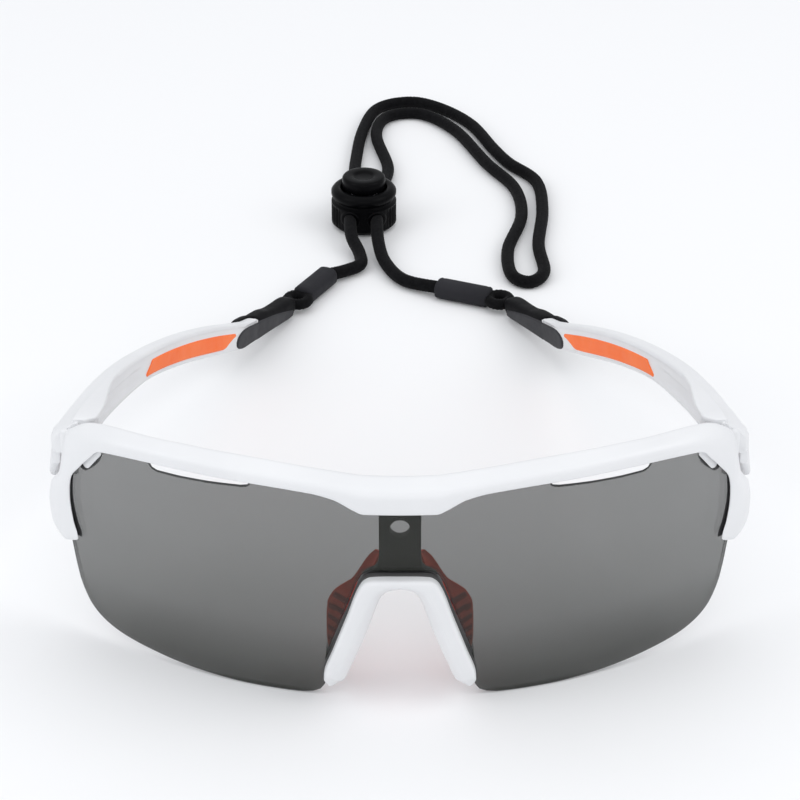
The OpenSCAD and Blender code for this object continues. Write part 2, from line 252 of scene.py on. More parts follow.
def piece(name, verts, faces, mats, body, replaces=(), face_mats=None, sharp=35.0):
    """A mesh object from points in millimetres, riding on a body."""
    mesh = bpy.data.meshes.new(name)
    mesh.from_pydata([at(v) for v in verts], [], faces)
    for m in mats:
        mesh.materials.append(m)
    if face_mats is not None:
        mesh.polygons.foreach_set("material_index", face_mats)
    bm = bmesh.new()
    bm.from_mesh(mesh)
    bmesh.ops.remove_doubles(bm, verts=bm.verts, dist=1e-7)
    bmesh.ops.recalc_face_normals(bm, faces=bm.faces)
    bm.to_mesh(mesh)
    bm.free()
    mesh.shade_smooth()
    mesh.set_sharp_from_angle(angle=math.radians(sharp))
    obj = bpy.data.objects.new(name, mesh)
    bpy.context.scene.collection.objects.link(obj)
    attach(obj, body)
    if replaces:
        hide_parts(*replaces)
    return obj


def loft(rings, closed=False):
    """Quads between rings of equal length, with a cap at each end."""
    n = len(rings[0])
    verts = [p for ring in rings for p in ring]
    count = len(rings)
    faces = []
    for i in range(count if closed else count - 1):
        a, b = i * n, ((i + 1) % count) * n
        faces += [(a + k, a + (k + 1) % n, b + (k + 1) % n, b + k) for k in range(n)]
    if not closed:
        faces += [tuple(range(n - 1, -1, -1)), tuple(range((count - 1) * n, count * n))]
    return verts, faces


def joined(*parts):
    """Several (verts, faces) lists as one."""
    verts, faces = [], []
    for v, f in parts:
        base = len(verts)
        verts += list(v)
        faces += [tuple(base + i for i in face) for face in f]
    return verts, faces


def mirrored(part):
    """The part's mirror image."""
    verts, faces = part
    return [(-v[0], v[1], v[2]) for v in verts], faces


def mirror_loft(half):
    """A loft from the mirror image of the last ring, through the first ring, to the last."""
    other = [[np.array([-p[0], p[1], p[2]]) for p in ring] for ring in half[1:]]
    return loft(other[::-1] + half)


def side_piece(stem, side, part, mats, body, solid=None, face_mats=None, sharp=35.0):
    """One of a pair of pieces: the part itself at the left, its mirror image at the right."""
    verts, faces = part if side == "left" else mirrored(part)
    replaces = [f"{solid}_{side}"] if solid else ()
    return piece(f"{stem}_{side}", verts, faces, mats, body, replaces, face_mats, sharp)


CORNER_REACH = 0.47


def rounded(corners, radii, steps):
    """The corners' polygon with each corner rounded off by its own radius, in `steps` points.
    A radius reaches no further along a side than CORNER_REACH of its length."""
    out = []
    n = len(corners)
    points = [np.array(corner, float) for corner in corners]
    for i, p in enumerate(points):
        before, after = points[i - 1] - p, points[(i + 1) % n] - p
        la, lb = np.linalg.norm(before), np.linalg.norm(after)
        pa = p + before / la * min(radii[i], CORNER_REACH * la)
        pb = p + after / lb * min(radii[i], CORNER_REACH * lb)
        for k in range(steps):
            t = k / (steps - 1)
            out.append((1 - t) ** 2 * pa + 2 * t * (1 - t) * p + t * t * pb)
    return out


def box_corners(u0, u1, v0, v1):
    return [(u0, v0), (u1, v0), (u1, v1), (u0, v1)]


def placed(place, flat):
    """The points (u, v) of a section, set at a place (point, direction of u, direction of v)."""
    p, side, up = place
    return [p + q[0] * side + q[1] * up for q in flat]


def smooth_keys(keys):
    """A monotone cubic through rows (t, values...), as a function of t that returns an array."""
    keys = np.array(keys, float)
    x, y = keys[:, 0], keys[:, 1:]
    h = np.diff(x)[:, None]
    slope = np.diff(y, axis=0) / h
    m = np.zeros_like(y)
    w1, w2 = 2 * h[1:] + h[:-1], h[1:] + 2 * h[:-1]
    same = slope[:-1] * slope[1:] > 0
    safe0 = np.where(same, slope[:-1], 1)
    safe1 = np.where(same, slope[1:], 1)
    m[1:-1] = np.where(same, (w1 + w2) / (w1 / safe0 + w2 / safe1), 0)
    m[0], m[-1] = slope[0], slope[-1]

    def value(t):
        i = int(np.clip(np.searchsorted(x, t) - 1, 0, len(x) - 2))
        s = (t - x[i]) / (x[i + 1] - x[i])
        d = x[i + 1] - x[i]
        return ((1 + 2 * s) * (1 - s) ** 2 * y[i] + s * (1 - s) ** 2 * d * m[i]
                + s * s * (3 - 2 * s) * y[i + 1] + s * s * (s - 1) * d * m[i + 1])
    return value


def ease(x):
    """0 below 0, 1 above 1 and a smooth step between."""
    x = np.clip(x, 0, 1)
    return x * x * (3 - 2 * x)


def rise(t, start, length):
    """0 before start, and 1 from start + length on."""
    return ease((t - start) / length)


def fall(t, end, length):
    """1 up to end - length, and 0 from end on."""
    return ease((end - t) / length)


def unit(v):
    return np.array(v, float) / np.linalg.norm(v)


def on_lens(x, d, z):
    """The point at X = x that stands d in front of the lens's outer surface."""
    return np.array([x, LENS_R - math.sqrt((LENS_R + d) ** 2 - x * x), z])


def catmull(points, steps):
    """A smooth curve through the points, with `steps` points to each span."""
    p = [np.array(q, float) for q in points]
    out = []
    for i in range(len(p) - 1):
        a, b, c, d = p[max(i - 1, 0)], p[i], p[i + 1], p[min(i + 2, len(p) - 1)]
        for k in range(steps):
            t = k / steps
            out.append(0.5 * (2 * b + (c - a) * t + (2 * a - 5 * b + 4 * c - d) * t * t
                              + (3 * b - a - 3 * c + d) * t ** 3))
    out.append(p[-1])
    return out


def route_frames(path):
    """(point, side, up) along a path, for sweeping a section."""
    out = []
    for i, p in enumerate(path):
        d = unit(path[min(i + 1, len(path) - 1)] - path[max(i - 1, 0)])
        side = unit(np.cross(d, UP))
        out.append((p, side, np.cross(side, d)))
    return out


def turns(count):
    """Angles evenly spaced round a circle."""
    return np.linspace(0, 2 * math.pi, count, endpoint=False)


# ---- Leash cord ----

CORD_D = 3.4
# The middle of the cord, from one sleeve through the lock, round the loop and back.
CORD_POINTS = [
    (-19.3, 186.1, 2.6), (-14.8, 189.2, 2.2), (-10.9, 193, 2.2), (-11.2, 199, 2.6), (-13.4, 206, 4),
    (-14, 213, 5), (-14, 223, 5), (-14, 233, 5), (-13.5, 244, 3), (-13.2, 262, 1.8),
    (-11.5, 284, 1.8), (-7, 301.5, 1.8), (3.3, 307, 1.8), (13, 301.5, 1.8), (22, 289, 1.8),
    (28.2, 271, 1.8), (32.5, 260.5, 1.8), (40, 247.5, 1.8), (40.8, 228, 1.8), (38.6, 206, 1.8),
    (39.3, 189.5, 1.8), (35.2, 183.2, 1.8), (30.4, 187.5, 1.8), (30, 203, 1.8), (34.6, 224, 1.8),
    (33.4, 243, 1.8), (25.8, 260.5, 1.8), (17, 284.5, 1.8), (6.5, 297.5, 1.8), (-4, 295, 1.8),
    (-7.2, 281, 1.8), (-3.6, 258, 1.8), (-5, 243, 3), (-6.5, 233, 5), (-6.5, 223, 5),
    (-6.5, 213, 5), (-6, 204, 3.4), (-4, 194, 2.2), (1, 184, 2), (10, 178.5, 2.6)]


def resampled(path, spacing):
    """Points along the path at an even spacing, and the path's length."""
    path = np.array(path)
    run = np.concatenate([[0], np.cumsum(np.linalg.norm(np.diff(path, axis=0), axis=1))])
    count = max(2, int(round(run[-1] / spacing)) + 1)
    even = np.linspace(0, run[-1], count)
    points = [np.array([np.interp(s, run, path[:, k]) for k in range(3)]) for s in even]
    return points, float(run[-1])


BRAID_STRANDS = 8
BRAID_PITCH = 7.0
BRAID_RELIEF = 0.153
BRAID_SWELL = 0.11


def braided_tube(path, radius, sides=24):
    """A tube whose surface rises and falls as two families of strands cross over each other."""
    rings = []
    travelled = 0.0
    for i, (p, side, up) in enumerate(route_frames(path)):
        if i:
            travelled += np.linalg.norm(p - path[i - 1])
        turn = 2 * math.pi * travelled / BRAID_PITCH
        ring = []
        for a in turns(sides):
            one = math.cos(BRAID_STRANDS / 2 * (a + turn))
            two = math.cos(BRAID_STRANDS / 2 * (a - turn))
            r = radius - BRAID_RELIEF * (1 - abs(one * two))
            ring.append(p + r * (math.cos(a) * side + math.sin(a) * up))
        rings.append(ring)
    return loft(rings)


cord_path, cord_length = resampled(catmull(CORD_POINTS, 12), 0.32)
v, f = braided_tube(cord_path, CORD_D / 2 + BRAID_SWELL)
leash = piece("leash_braid", v, f, [cord_black], "front", ["leash_cord"], sharp=80.0)


# ---- Lens ----

EDGE_STEPS = 3


def plate(bottom, top, rows, depth0, thickness, edge, lean=None):
    """A plate on the lens's arc between two edges given as lists of (x, z), with rounded rims.
    lean(x) is how far the top edge drops from its front to its back.
    Returns verts, faces and, for each face, 1 on the rim and 0 elsewhere."""
    cols = len(bottom)
    loop = ([(i, 0) for i in range(cols)] + [(cols - 1, j) for j in range(1, rows)]
            + [(i, rows) for i in range(cols - 1, -1, -1)]
            + [(0, j) for j in range(rows - 1, 0, -1)])
    grid = {(i, j): np.array(bottom[i]) + (np.array(top[i]) - np.array(bottom[i])) * j / rows
            for i in range(cols) for j in range(rows + 1)}
    n = len(loop)
    outline = [grid[q] for q in loop]
    inward = []
    for k in range(n):
        e = outline[(k + 1) % n] - outline[k - 1]
        e = e / (np.linalg.norm(e) + 1e-9)
        inward.append(np.array([-e[1], e[0]]))

    def drop(q, x):
        return lean(x) if lean and q[1] == rows else 0.0

    inset_at = {loop[k]: outline[k] + edge * inward[k] for k in range(n)}
    verts, faces, rim = [], [], []
    front, back = {}, {}
    for k, sheet in enumerate((front, back)):
        for q, p in grid.items():
            p = inset_at.get(q, p)
            sheet[q] = len(verts)
            verts.append(on_lens(p[0], -depth0 - k * thickness, p[1] - k * drop(q, p[0])))
    for i in range(cols - 1):
        for j in range(rows):
            faces.append((front[i, j], front[i + 1, j], front[i + 1, j + 1], front[i, j + 1]))
            faces.append((back[i, j], back[i, j + 1], back[i + 1, j + 1], back[i + 1, j]))
            rim += [0, 0]
    rings = [[front[q] for q in loop]]
    for side in (0, 1):
        for s in range(EDGE_STEPS + 1):
            a = math.pi / 2 * s / EDGE_STEPS
            a = a if side == 0 else math.pi / 2 - a
            inset, sunk = edge * (1 - math.sin(a)), edge * (1 - math.cos(a))
            depth = sunk if side == 0 else thickness - sunk
            if inset > edge - 1e-6:
                continue
            ring = []
            for k in range(n):
                p = outline[k] + inset * inward[k]
                ring.append(len(verts))
                verts.append(on_lens(p[0], -depth0 - depth, p[1] - side * drop(loop[k], p[0])))
            rings.append(ring)
    rings.append([back[q] for q in loop])
    for a, b in zip(rings, rings[1:]):
        for k in range(n):
            faces.append((a[k], b[k], b[(k + 1) % n], a[(k + 1) % n]))
            rim.append(1)
    return verts, faces, rim


def edge_line(xs, table, k=1):
    """(x, value) along an edge that is the same on both sides; column k of the table by |x|."""
    table = np.array(table)
    return [(x, float(np.interp(abs(x), table[:, 0], table[:, k]))) for x in xs]


# The lower and upper edges of the lens, from its middle to its side: (X, Z).
LENS_LOW = [
    (0, 31.1), (6.1, 31.1), (7.6, 30.2), (8.7, 28.1), (11.05, 21.3), (13.85, 13.3), (14.75, 10.6),
    (14.85, 5.2), (15.0, 3.9), (15.4, 2.6), (16.3, 1.3), (17.9, 0.55), (20.0, 0.2), (23, 0.12),
    (28, 0.12)]
LENS_CORNER = [
    (28, 0.12), (32, 0.16), (37.6, 0.44), (44, 0.93), (51.6, 1.92), (58.7, 3.3), (62.5, 4.9),
    (65.3, 7.4), (66.9, 10.6), (68.1, 15.0), (68.8, 21.3), (69, 22.2)]
lens_corner = smooth_keys(LENS_CORNER)
LENS_LOW += [(x, float(lens_corner(x)[0])) for x in np.linspace(28.5, 69, 60)]
LENS_HIGH = [
    (0, 51.5), (29.2, 51.5), (29.5, 49.6), (30.1, 48.75), (31.5, 48.4), (38, 47.85), (44, 47.5),
    (48.6, 47.4), (49.6, 47.8), (50.4, 49.0), (51.0, 51.0), (60.0, 50.8), (60.3, 48.4),
    (60.7, 46.6), (61.3, 45.0), (62.4, 43.5), (63.6, 42.2), (64.5, 41.4), (65.2, 41.5),
    (65.7, 43.0), (69, 37.6)]
VENT = (29.4, 51.0)
VENT_EASE = 0.8
VENT_DROP = 1.25

lens_x = sorted(set(np.round(np.concatenate([
    np.linspace(0, 69, 116), [s[0] for s in LENS_LOW], [s[0] for s in LENS_HIGH],
    np.linspace(6.0, 21.5, 48), np.linspace(59.8, 66.5, 30), np.linspace(66.5, 69, 14)]), 4)))
lens_x = [-x for x in reversed(lens_x) if x > 0] + lens_x
lens_low, lens_high = edge_line(lens_x, LENS_LOW), edge_line(lens_x, LENS_HIGH)


def vent_lean(x):
    """In the two vents the lens's top edge slopes down towards the back."""
    return VENT_DROP * rise(abs(x), VENT[0], VENT_EASE) * fall(abs(x), VENT[1], VENT_EASE)


# Below this height the faces of the rim are lens_rim_low.
RIM_LOW_Z = 36.5
lens_v, lens_f, lens_rim = plate(lens_low, lens_high, 24, 0.0, LENS_T, 0.3, lean=vent_lean)
for k, face in enumerate(lens_f):
    if lens_rim[k] and np.mean([lens_v[i] for i in face], axis=0)[2] < RIM_LOW_Z:
        lens_rim[k] = 2
piece("shield_lens", lens_v, lens_f, [lens_tint, lens_edge, lens_rim_low], "front",
      ["lens"], lens_rim)


# ---- Front frame ----

# Each row: where along the rail, then its four edges as X, distance in front of the lens and Z.
# The rail runs from the centre to the tip of the side arm.
FRAME_KEYS = [
    [0, 0, 3.2, 46.2, 0, 3.3, 51.3, 0, -2.0, 53.0, 0, -3.9, 48.6],
    [7.3, 7.3, 3.2, 46.2, 7.3, 3.3, 51.4, 7.3, -2.0, 53.1, 7.3, -3.9, 48.6],
    [9.0, 9.0, 3.1, 46.9, 9.0, 3.2, 51.5, 9.0, -2.1, 53.2, 9.0, -3.9, 48.8],
    [13.2, 13.2, 2.6, 49.0, 13.2, 2.6, 51.8, 13.2, -2.4, 53.5, 13.2, -3.9, 49.4],
    [18, 18, 2.1, 49.8, 18, 2.1, 52.1, 18, -2.7, 53.8, 18, -3.8, 49.9],
    [29, 29, 1.7, 50.2, 29, 1.7, 52.6, 29, -3.0, 54.3, 29, -3.8, 50.6],
    [41, 41, 1.6, 50.1, 41, 1.6, 52.7, 41, -2.6, 54.4, 41, -3.6, 50.6],
    [50, 50, 1.6, 49.7, 50, 1.6, 52.3, 50, -2.3, 54.0, 50, -3.5, 50.0],
    [57, 57, 1.7, 49.0, 57.3, 1.7, 51.5, 57.5, -2.2, 53.5, 57, -3.6, 49.1],
    [61, 60.9, 1.8, 48.2, 62.0, 1.6, 50.3, 62.6, -1.9, 52.6, 62.0, -3.6, 47.7],
    [64.5, 63.0, 1.8, 45.8, 65.3, 1.8, 48.7, 66.3, -1.2, 50.8, 65.0, -3.2, 44.6],
    [68.5, 65.2, 1.8, 42.8, 67.8, 2.0, 45.4, 69.1, -0.2, 47.6, 68.2, -3.0, 41.9],
    [72.5, 67.5, 1.7, 38.9, 69.2, 2.1, 41.0, 70.1, 0.2, 41.8, 69.2, -3.0, 39.2],
    [76, 67.95, 1.65, 36.0, 69.9, 2.2, 37.5, 70.9, 0.3, 38.2, 69.8, -2.7, 36.9],
    [79, 68.05, 1.6, 33.4, 71.0, 2.2, 34.2, 73.3, 0.4, 34.3, 70.6, -2.4, 34.2],
    [86, 67.6, 1.5, 28.0, 71.9, 2.0, 28.4, 74.1, 0.2, 28.6, 71.2, -2.2, 28.6],
    [89, 67.0, 1.4, 25.4, 71.6, 1.8, 25.0, 73.9, 0.1, 25.2, 71.2, -2.5, 26.0],
    [91, 66.9, 1.2, 23.9, 70.9, 1.6, 22.9, 72.9, 0.0, 22.9, 70.8, -2.0, 24.2],
    [92, 67.9, 0.9, 22.9, 70.3, 1.2, 22.1, 71.7, -0.1, 22.1, 70.5, -1.4, 22.9]]
# How much each of the four edges is rounded at each row.
FRAME_ROUND = [
    [0.7, 0.7, 0.7, 0.6, 0.5, 0.4, 0.4, 0.4, 0.4, 0.5, 0.6, 0.7, 0.8, 0.9, 0.9, 0.9, 0.9, 0.8, 0.5],
    [1.6, 1.6, 1.6, 1.5, 1.4, 1.4, 1.4, 1.5, 1.8, 2.2, 2.4, 2.4, 2.2, 2.2, 2.2, 2.2, 2.0, 1.4, 0.7],
    [1.6, 1.6, 1.6, 1.6, 1.6, 1.5, 1.5, 1.5, 1.5, 1.7, 2.0, 2.0, 1.6, 1.6, 1.8, 1.8, 1.8, 1.4, 0.7],
    [0.8] * 18 + [0.6]]
frame_rail = smooth_keys(np.column_stack([FRAME_KEYS, *FRAME_ROUND]))


def frame_ring(t):
    row = frame_rail(t)
    corners = [on_lens(*row[3 * k:3 * k + 3]) for k in range(4)]
    return rounded(corners, row[12:16], 6)


frame_ts = np.concatenate([np.linspace(0, 20, 26), np.linspace(21, 57, 26),
                           np.linspace(58, FRAME_KEYS[-1][0], 64)])
frame_part = mirror_loft([frame_ring(t) for t in frame_ts])


def prism(outline, z0, z1, edge=0.35):
    """A flat-topped solid over an outline of (x, y), with chamfered rims."""
    centre = np.mean(outline, axis=0)
    rings = []
    for z, inset in ((z0, edge), (z0 + edge, 0), (z1 - edge, 0), (z1, edge)):
        ring = []
        for p in outline:
            d = np.array(p) - centre
            s = 1 - inset / max(np.linalg.norm(d), 1e-6)
            ring.append(np.array([*(centre + d * s), z]))
        rings.append(ring)
    return loft(rings)


HINGE_X, HINGE_Y = 64.5, 31.5
EAR_Z = ((38.7, 40.5), (46.7, 48.9))
KNUCKLE_R = 2.8
EAR_R = 2.3
EAR_ROOT = [(HINGE_X - EAR_R, 30.6), (HINGE_X + 1.4, 27.4), (HINGE_X + 3.6, 26.4)]
CORNER_BLOCK = [(66.4, 25.6), (69.0, 25.6), (69.8, 26.6), (69.4, 27.0), (66.4, 27.2)]


def round_end(r, start, end, count):
    """Points about the hinge pin, seen from above."""
    return [(HINGE_X + r * math.cos(a), HINGE_Y + r * math.sin(a))
            for a in np.linspace(start, end, count)]


ears = [prism(round_end(EAR_R, 0, math.pi, 19) + EAR_ROOT, *z) for z in EAR_Z]
hinge_mount = joined(*ears, prism(CORNER_BLOCK, 38.0, 48.4, 0.6))
v, f = joined(frame_part, hinge_mount, mirrored(hinge_mount))
piece("front_shell", v, f, [white], "front", ["front_frame"], sharp=50.0)


# Rows: down each side arm's inner edge, X, Z and how far the painted shade strip shows beyond the
# arm.
SHADE_STRIP_KEYS = [[0, 65.1, 43.0, 0.15], [5, 67.55, 38.6, 0.2], [11, 68.05, 33.0, 0.25],
             [16, 67.6, 28.0, 0.4], [19, 67.0, 25.2, 0.55], [20.4, 66.8, 24.2, 0.4]]
SHADE_STRIP_FRONT = (0.03, 0.45)
shade_strip_rail = smooth_keys(SHADE_STRIP_KEYS)


def shade_strip_ring(t):
    x, z, show = shade_strip_rail(t)
    low, high = SHADE_STRIP_FRONT
    corners = [on_lens(x - show, low, z), on_lens(x - show, high, z),
               on_lens(x + 0.9, high, z), on_lens(x + 0.9, low, z)]
    return rounded(corners, (0.05, 0.2, 0.1, 0.05), 4)


shade_strip_part = loft([shade_strip_ring(t) for t in np.linspace(0, SHADE_STRIP_KEYS[-1][0], 44)])
# A small dark disc of painted shade in the hollow at the lower end of the corner tab.
SHADE_SPOT_AT = (64.8, 42.0)
SHADE_SPOT_R = 0.75
shade_spot_part = loft([[on_lens(SHADE_SPOT_AT[0] + r * math.cos(a), d, SHADE_SPOT_AT[1] + r * math.sin(a))
                   for a in turns(20)]
                  for r, d in ((0.3, -1.2), (SHADE_SPOT_R, -1.0), (SHADE_SPOT_R, 0.2), (0.5, 0.4))])
TAB_ENDS = (np.array([61.2, 47.2]), np.array([64.1, 42.95]))
TAB_HALF = 0.78


def tab_part():
    """The frame's small slanting tab in the notch at each top corner of the lens."""
    along = unit(TAB_ENDS[1] - TAB_ENDS[0])
    across = np.array([-along[1], along[0]])
    rings = []
    for d, inset in ((-1.6, 0.12), (-1.45, 0.0), (0.35, 0.0), (0.55, 0.12), (0.62, 0.3)):
        r = TAB_HALF - inset
        outline = []
        for end, way in ((TAB_ENDS[0], -r), (TAB_ENDS[1], r)):
            for a in np.linspace(-math.pi / 2, math.pi / 2, 9):
                outline.append(end + way * (math.cos(a) * along + math.sin(a) * across))
        rings.append([on_lens(q[0], d, q[1]) for q in outline])
    return loft(rings)


notch_shade, corner_tab = joined(shade_strip_part, shade_spot_part), tab_part()
for side in SIDES:
    side_piece("lens_painted_shade", side, notch_shade, [shade_strip_dark], "front", sharp=40.0)
    side_piece("corner_tab", side, corner_tab, [white], "front", sharp=40.0)


# ---- Nose bridge, core and pads ----

# Rows: along the leg, then its inner and outer edges as (X, Z).
BRIDGE_KEYS = [
    [0, 0, 27.6, 0, 30.65], [3, 2.2, 27.1, 3.0, 30.65], [6, 3.8, 25.5, 5.9, 30.5],
    [8, 4.5, 23.7, 7.35, 29.65], [10, 5.1, 21.8, 8.35, 28.0], [16, 7.1, 15.8, 10.7, 21.2],
    [24, 9.6, 9.3, 13.5, 13.2], [30, 11.2, 5.5, 15.4, 7.6], [32.5, 12.0, 4.6, 15.5, 6.0],
    [34, 13.1, 4.1, 14.8, 4.7]]
bridge_rail = smooth_keys(BRIDGE_KEYS)
BRIDGE_END = BRIDGE_KEYS[-1][0]
BRIDGE_NARROWS = 30
BRIDGE_BACK = 4.45


def bridge_ring(t):
    xi, zi, xo, zo = bridge_rail(t)
    inner, outer = np.array([xi, 0, zi]), np.array([xo, 0, zo])
    pull = 0.96 * max(0.0, (t - BRIDGE_NARROWS) / (BRIDGE_END - BRIDGE_NARROWS))
    front, back = 0.05 - BRIDGE_AHEAD + pull, BRIDGE_BACK - pull
    shoulder = outer + (inner - outer) * min(0.45, 1.7 / np.linalg.norm(outer - inner))
    ridge = inner + (outer - inner) * 0.44
    corners = [inner + [0, front + 1.9, 0], ridge + [0, front + 0.15, 0], outer + [0, front, 0],
               outer + [0, -0.8, 0], shoulder + [0, 0.1, 0], shoulder + [0, back, 0],
               inner + [0, back, 0]]
    return rounded(corners, (0.9, 0.8, 1.4, 0.1, 0.3, 0.6, 1.0), 6)


v, f = mirror_loft([bridge_ring(t) for t in np.linspace(0, BRIDGE_END, 52)])
piece("nose_bridge_shell", v, f, [white], "front", ["nose_bridge"], sharp=60.0)

COLLAR_REACH = 0.24
COLLAR_Y = (-0.75, 0.35)
COLLAR_END = 30.8


def collar_ring(t):
    """The core's thin dark lip round the outside of the bridge."""
    here, ahead = bridge_rail(max(t - 0.2, 0))[2:], bridge_rail(t + 0.2)[2:]
    along = unit(ahead - here)
    out = np.array([-along[1], along[0]])
    edge = bridge_rail(t)[2:]
    front, back = COLLAR_Y
    inner, outer = edge - 0.5 * out, edge + COLLAR_REACH * out
    corners = [(inner[0], front, inner[1]), (outer[0], front, outer[1]),
               (outer[0], back, outer[1]), (inner[0], back, inner[1])]
    return rounded(corners, (0.1, 0.16, 0.16, 0.1), 3)


collar_part = mirror_loft([collar_ring(t) for t in np.linspace(0, COLLAR_END, 60)])

CORE_HOLE_R = 2.0
CORE_HOLE_Z = 40.0
CORE_DEPTH = (LENS_T + 0.1, LENS_T + 2.0)
STEM_HALF = 4.2
STEM_UP, STEM_DOWN = 9.0, 6.0
# The core's two legs, from the middle out: (X, Z of the lower edge, Z of the upper edge).
LEG_KEYS = np.array([
    [0, 28.0, 34.4], [STEM_HALF, 28.0, 34.4], [4.3, 28.0, 31.8], [4.6, 28.0, 30.9],
    [5.2, 27.7, 30.2], [6.4, 27.0, 29.6], [7.4, 26.0, 28.7], [8.3, 24.0, 26.9],
    [10.7, 17.0, 20.0], [13.5, 9.0, 12.5], [14.6, 6.6, 9.7], [15.3, 5.4, 7.3]])


def core_part():
    """The core's stem with its round vent, and its two legs behind the nose bridge."""
    circle = [(math.sin(a), math.cos(a)) for a in turns(48)]
    rim_out = []
    for dx, dz in circle:
        scale = min(STEM_HALF / max(abs(dx), 1e-6),
                    (STEM_UP if dz > 0 else STEM_DOWN) / max(abs(dz), 1e-6))
        rim_out.append((dx * scale, CORE_HOLE_Z + dz * scale))
    hole, lip = ([(r * dx, CORE_HOLE_Z + r * dz) for dx, dz in circle]
                 for r in (CORE_HOLE_R, CORE_HOLE_R + 0.25))
    front, back = CORE_DEPTH
    rings = ((rim_out, front), (lip, front), (hole, front + 0.25), (hole, back), (rim_out, back))
    stem = loft([[on_lens(x, -d, z) for x, z in outline] for outline, d in rings], closed=True)
    xs = sorted(set(list(LEG_KEYS[:, 0]) + list(np.linspace(0, LEG_KEYS[-1, 0], 40))))
    xs = [-x for x in reversed(xs) if x > 0] + xs
    v, f, _ = plate(edge_line(xs, LEG_KEYS, 1), edge_line(xs, LEG_KEYS, 2), 3, front,
                    back - front, 0.2)
    return joined(stem, (v, f), collar_part)


v, f = core_part()
piece("nose_core_plate", v, f, [charcoal], "front", ["nose_core"], sharp=40.0)

# Rows: down the pad, its front edge and its back edge as (X, Y, Z).
PAD_KEYS = [
    [0.0, 4.3, 5.0, 31.9, 4.9, 7.0, 32.0], [0.06, 4.6, 5.0, 30.6, 6.3, 7.7, 30.1],
    [0.16, 5.6, 5.0, 27.4, 7.8, 8.1, 27.3], [0.30, 7.0, 5.1, 23.9, 9.5, 9.0, 23.9],
    [0.40, 8.0, 5.2, 21.4, 11.7, 10.6, 21.2], [0.48, 8.8, 5.3, 19.2, 13.7, 11.6, 18.8],
    [0.58, 9.9, 5.4, 16.4, 14.9, 12.0, 15.8], [0.72, 11.2, 5.5, 12.6, 15.1, 12.0, 11.8],
    [0.86, 12.5, 5.7, 8.9, 15.1, 11.5, 8.3], [0.96, 13.3, 6.0, 6.5, 14.8, 10.5, 5.7],
    [1.0, 13.7, 6.8, 5.7, 14.3, 9.2, 5.2]]
pad_rail = smooth_keys(PAD_KEYS)
PAD_T = 1.9
PAD_BOW = 0.9
RIBS, RIB_SLANT, RIB_DEEP = 10.5, 0.2, 0.75


def nose_pad_part():
    """A curved rubber pad with slanting ribs on the face that meets the nose.
    The second result is 1 for each face in a groove between two ribs, which is coloured with
    painted shade, and 0 elsewhere."""
    rows, cols = 90, 26
    rings = []
    dark = np.zeros((rows + 1, cols + 1), bool)
    for i in range(rows + 1):
        t = i / rows
        row = pad_rail(t)
        a, b = row[:3], row[3:6]
        up = unit(pad_rail(min(t + 0.02, 1))[:3] - pad_rail(max(t - 0.02, 0))[:3])
        out = unit(np.cross(b - a, up))
        line_f, line_b = [], []
        for j in range(cols + 1):
            s = j / cols
            thick = PAD_T * max(0.0, math.sin(math.pi * s)) ** 0.35
            thick *= max(0.05, math.sin(math.pi * np.clip(t, 0.012, 0.988))) ** 0.3
            off_rib = abs((t * RIBS - s * RIB_SLANT) % 1.0 - 0.5)
            ribbed = (rise(t, 0.42, 0.06) * fall(t, 0.97, 0.06)
                      * rise(s, 0.08, 0.2) * fall(s, 0.93, 0.16))
            rib = RIB_DEEP * ribbed * ease((0.5 - off_rib) * 3.6)
            # Faces deep in a groove get the painted groove shade.
            dark[i, j] = ribbed > 0.35 and off_rib > 0.2
            centre = a + (b - a) * s + out * PAD_BOW * math.sin(math.pi * s)
            line_f.append(centre - out * (thick / 2 + 0.5 * rib))
            line_b.append(centre + out * (thick / 2 + rib))
        rings.append(line_f + line_b[::-1])
    shades = []
    for i in range(rows):
        line = [int(dark[i, j] and dark[i + 1, j]) for j in range(cols)]
        shades += line + [0] + line[::-1] + [0]
    return loft(rings), shades + [0, 0]


pad_part, pad_painted_shade = nose_pad_part()
for side in SIDES:
    side_piece("nose_grip", side, pad_part, [pad_orange, pad_groove_shade], "front",
               "nose_pad", pad_painted_shade, sharp=60.0)


# ---- Temples ----

# The temple's centreline is a curve through three control points, then straight on.
TEMPLE_A, TEMPLE_B, TEMPLE_C = (
    np.array(p) for p in ((67.6, 28, 46.5), (60.5, 80, 39.5), (38.5, 146, 6)))
TEMPLE_ON = np.array([-49.0, 110.0, -16.0])


def temple_point(t):
    if t > 1:
        return TEMPLE_C + (t - 1) * TEMPLE_ON
    return (1 - t) ** 2 * TEMPLE_A + 2 * t * (1 - t) * TEMPLE_B + t * t * TEMPLE_C


def temple_frame(t):
    """(point, inward, up) on the temple."""
    d = unit(temple_point(t + 0.01) - temple_point(t - 0.01))
    side = unit(np.cross(d, (0, 0, -1)))
    if side[0] > 0:
        side = -side
    up = np.cross(side, d)
    return temple_point(t), side, up if up[2] > 0 else -up


